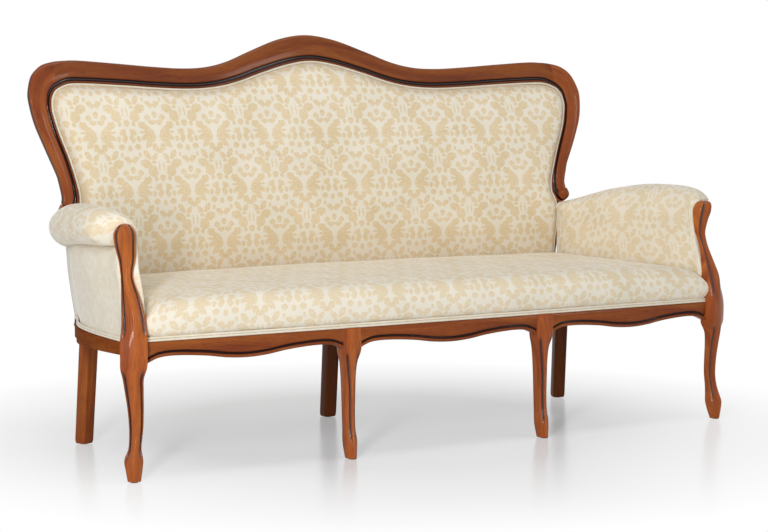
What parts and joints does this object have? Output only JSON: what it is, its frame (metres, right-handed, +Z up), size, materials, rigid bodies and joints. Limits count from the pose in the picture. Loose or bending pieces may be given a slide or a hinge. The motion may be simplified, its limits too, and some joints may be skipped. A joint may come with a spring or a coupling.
{
  "type": "cabriole sofa",
  "caption": "Three-seat settee with a carved show-wood frame, serpentine crest, scrolled stiles, cabriole legs, scalloped apron and damask upholstery on seat, back and rolled arms.",
  "frame": {"origin": "on the floor under the centre of the bounding box", "axes": "+Z up, +Y from the front rail towards the back, +X to the right of somebody who looks at the front"},
  "size_m": [1.9114, 0.7832, 1.065],
  "materials": {
    "show_wood": "reddish walnut stain under gloss lacquer",
    "frame_wood": "bare beech",
    "upholstery": "ivory damask with gold-beige figure, satin",
    "webbing": "jute webbing",
    "dust_cover": "black non-woven cloth",
    "bolt_steel": "zinc plated",
    "glide_plastic": "brown nylon"
  },
  "bodies": {
    "root": {"front_rail_centre": "show_wood", "rear_rail": "show_wood", "rear_leg_middle": "show_wood", "crest_rail": "show_wood", "lower_back_rail": "frame_wood", "webbing_centre": "webbing", "dust_cover": "dust_cover", "seat_pad": "upholstery", "seat_welt": "upholstery", "back_pad": "upholstery", "outside_back": "upholstery", "glide_rear_middle": "glide_plastic", "front_post_right": "show_wood", "front_post_left": "show_wood", "front_leg_right": "show_wood", "front_leg_left": "show_wood", "front_rail_right": "show_wood", "front_rail_left": "show_wood", "side_rail_right": "show_wood", "side_rail_left": "show_wood", "rear_leg_right": "show_wood", "rear_leg_left": "show_wood", "seat_brace_right": "frame_wood", "seat_brace_left": "frame_wood", "corner_block_right": "frame_wood", "corner_block_left": "frame_wood", "back_stile_right": "show_wood", "back_stile_left": "show_wood", "crest_dowel_right": "frame_wood", "crest_dowel_left": "frame_wood", "stile_bolt_right": "bolt_steel", "stile_bolt_left": "bolt_steel", "back_upright_right": "frame_wood", "back_upright_left": "frame_wood", "arm_rail_right": "frame_wood", "arm_rail_left": "frame_wood", "webbing_right": "webbing", "webbing_left": "webbing", "arm_pad_right": "upholstery", "arm_pad_left": "upholstery", "arm_panel_right": "upholstery", "arm_panel_left": "upholstery", "arm_welt_right": "upholstery", "arm_welt_left": "upholstery", "side_welt_right": "upholstery", "side_welt_left": "upholstery", "glide_front_corner_right": "glide_plastic", "glide_front_corner_left": "glide_plastic", "glide_front_right": "glide_plastic", "glide_front_left": "glide_plastic", "glide_rear_right": "glide_plastic", "glide_rear_left": "glide_plastic"}
  },
  "joints": []
}
